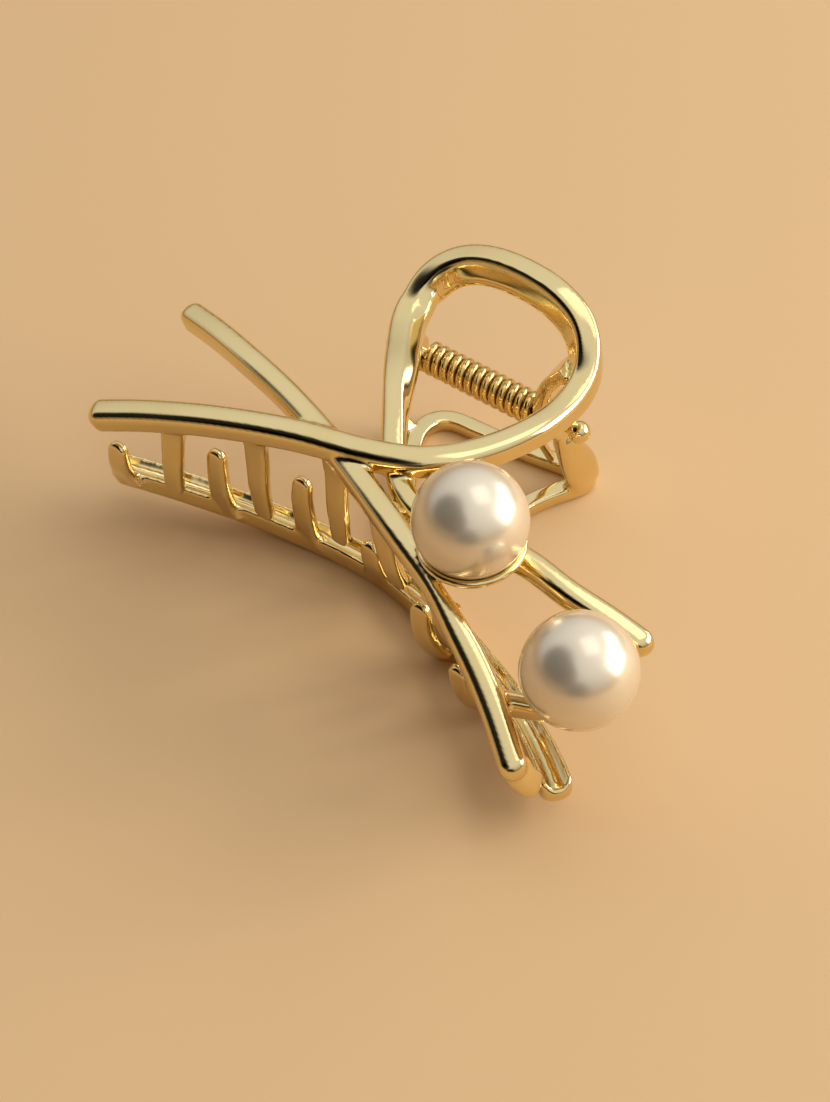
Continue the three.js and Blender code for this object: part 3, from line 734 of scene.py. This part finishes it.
# %% Pearl lacquer
LACQUER_SIZE = 4.17 * MM        # patches where the lacquer is thicker
pearl_lacquer, shader = new_finish("pearl_lacquer_on_bead")
place = add_node(pearl_lacquer, "ShaderNodeTexCoord").outputs["Object"]
drift = {"Vector": place, "Scale": 1 / LACQUER_SIZE, "Detail": 5.0}
cloud = add_node(pearl_lacquer, "ShaderNodeTexNoise", drift)
tint = two_tints(pearl_lacquer, cloud.outputs["Fac"], "#F4E6CC", "#EAD9BA")
connect(pearl_lacquer, tint, shader.inputs["Base Color"])
shader.inputs["Metallic"].default_value = 0.55
shader.inputs["Roughness"].default_value = 0.27
shader.inputs["Coat Weight"].default_value = 1.0
shader.inputs["Coat Roughness"].default_value = 0.12

# %% Finishes on pieces
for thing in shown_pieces():
    if thing.get("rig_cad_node"):
        continue
    thing.data.materials.clear()
    finish = pearl_lacquer if "pearl" in thing.name else plated_wire if thing is spring else plated_gold
    thing.data.materials.append(finish)

# %% [markdown]
# ## Floor and light
#
# The clip lies on a sheet of tan paper. One broad softbox to the right gives the highlight of each
# pearl and the bright outer side of the handle, a dim one overhead lays a streak on the flat faces, and
# a small one behind lights the inner bevels.

# %% The floor
FLOOR_HALF = 2.0                # m
floor_mesh = bpy.data.meshes.new("floor")
corners = [(x * FLOOR_HALF, y * FLOOR_HALF, 0) for x, y in ((-1, -1), (1, -1), (1, 1), (-1, 1))]
floor_mesh.from_pydata(corners, [], [(0, 1, 2, 3)])
floor = bpy.data.objects.new("floor", floor_mesh)
bpy.context.scene.collection.objects.link(floor)
paper, shader = new_finish("pale_paper")
shader.inputs["Base Color"].default_value = hex_colour("#DFB885")
shader.inputs["Roughness"].default_value = 0.9
floor_mesh.materials.append(paper)
print("floor", 2 * FLOOR_HALF, "m square")


# %% The lights
CLIP_MIDDLE = Vector((0, 0, 0.01))


def soft_light(name, place, size, power, colour="#FFFFFF"):
    """A softbox, in metres and watts, that faces the middle of the clip."""
    lamp = bpy.data.lights.new(name, "AREA")
    lamp.shape = "RECTANGLE"
    lamp.size, lamp.size_y = size
    lamp.energy = power
    lamp.color = hex_colour(colour)[:3]
    thing = bpy.data.objects.new(name, lamp)
    bpy.context.scene.collection.objects.link(thing)
    thing.location = place
    thing.rotation_euler = (CLIP_MIDDLE - Vector(place)).to_track_quat("-Z", "Y").to_euler()
    print(name, power, "W")


soft_light("key_right", (0.56, 0.41, 0.32), (0.5, 0.4), 3.9, "#FFFAF2")
soft_light("overhead", (0.14, 0.22, 0.78), (0.5, 0.4), 0.5)
soft_light("back_right", (0.3, 0.66, 0.38), (0.42, 0.26), 1.0)

# %% [markdown]
# ## The room
#
# Polished metal shows the room more than itself. Round the softboxes the room is pale overhead and
# the colour of the paper towards the horizon, where the paper sweeps up. Three dark patches stand for
# the unlit side of the studio, and draw the thin dark lines along the edges of the strands and the
# soft dark spots in the pearls.

# %% The room
# where each dark patch is, the cosines from which it darkens to which it is dark, and what is left
DARK_PATCHES = [
    ((-0.42, -0.63, 0.65), 0.78, 0.93, 0.02),
    ((0.51, -0.85, 0.13), 0.9, 0.98, 0.08),
    ((-0.06, -0.82, 0.57), 0.87, 0.95, 0.05),
]


def ramp(material, value, low, high, at_low=0.0, at_high=1.0):
    """A smooth step from at_low to at_high while the value goes from low to high."""
    inputs = {"Value": value, "From Min": low, "From Max": high, "To Min": at_low, "To Max": at_high}
    return add_node(material, "ShaderNodeMapRange", inputs, interpolation_type="SMOOTHSTEP").outputs[0]


world = bpy.data.worlds.new("studio")
world.use_nodes = True
way = add_node(world, "ShaderNodeTexCoord").outputs["Generated"]
height = add_node(world, "ShaderNodeSeparateXYZ", {0: way}).outputs["Z"]
level = ramp(world, height, 0.0, 0.85, 0.46, 0.97)
for patch, edge, core, left in DARK_PATCHES:
    toward = add_node(world, "ShaderNodeVectorMath", {0: way, 1: patch}, operation="DOT_PRODUCT")
    shade = ramp(world, toward.outputs["Value"], edge, core, 1.0, left)
    level = add_node(world, "ShaderNodeMath", {0: level, 1: shade}, operation="MULTIPLY").outputs[0]
hue = two_tints(world, ramp(world, height, 0.12, 0.32), "#E6C08A", "#EFF0F4")
background = world.node_tree.nodes["Background"]
connect(world, hue, background.inputs["Color"])
connect(world, level, background.inputs["Strength"])
bpy.context.scene.world = world
bpy.context.scene.view_settings.view_transform = "Standard"
print("room with", len(DARK_PATCHES), "dark patches")

# %% [markdown]
# ## The camera
#
# A long lens from the front left, well above the clip, so that the strands keep their proportions.

# %% The camera
HEADING, ELEVATION = np.radians([36.4, 47])
SENSOR_MM, LENS_MM = 36, 91.6334
EYE_FROM_PIN = np.array([0.134589, -0.197468, 0.227867])

camera_data = bpy.data.cameras.new("camera")
camera_data.sensor_width = SENSOR_MM
camera_data.lens = LENS_MM
camera = bpy.data.objects.new("camera", camera_data)
bpy.context.scene.collection.objects.link(camera)
right = np.array([np.cos(HEADING), np.sin(HEADING), 0])
level_forward = np.array([-np.sin(HEADING), np.cos(HEADING), 0])
forward = level_forward * np.cos(ELEVATION) - np.array([0, 0, np.sin(ELEVATION)])
turned_to = np.stack([right, np.cross(right, forward), -forward], axis=1)
where = (PIN_CENTRE + EYE_FROM_PIN).tolist()
camera.matrix_world = Matrix([[*row, at] for row, at in zip(turned_to.tolist(), where)] + [[0, 0, 0, 1]])
bpy.context.scene.camera = camera
print("camera at", np.round(where, 3), "with a", LENS_MM, "mm lens")
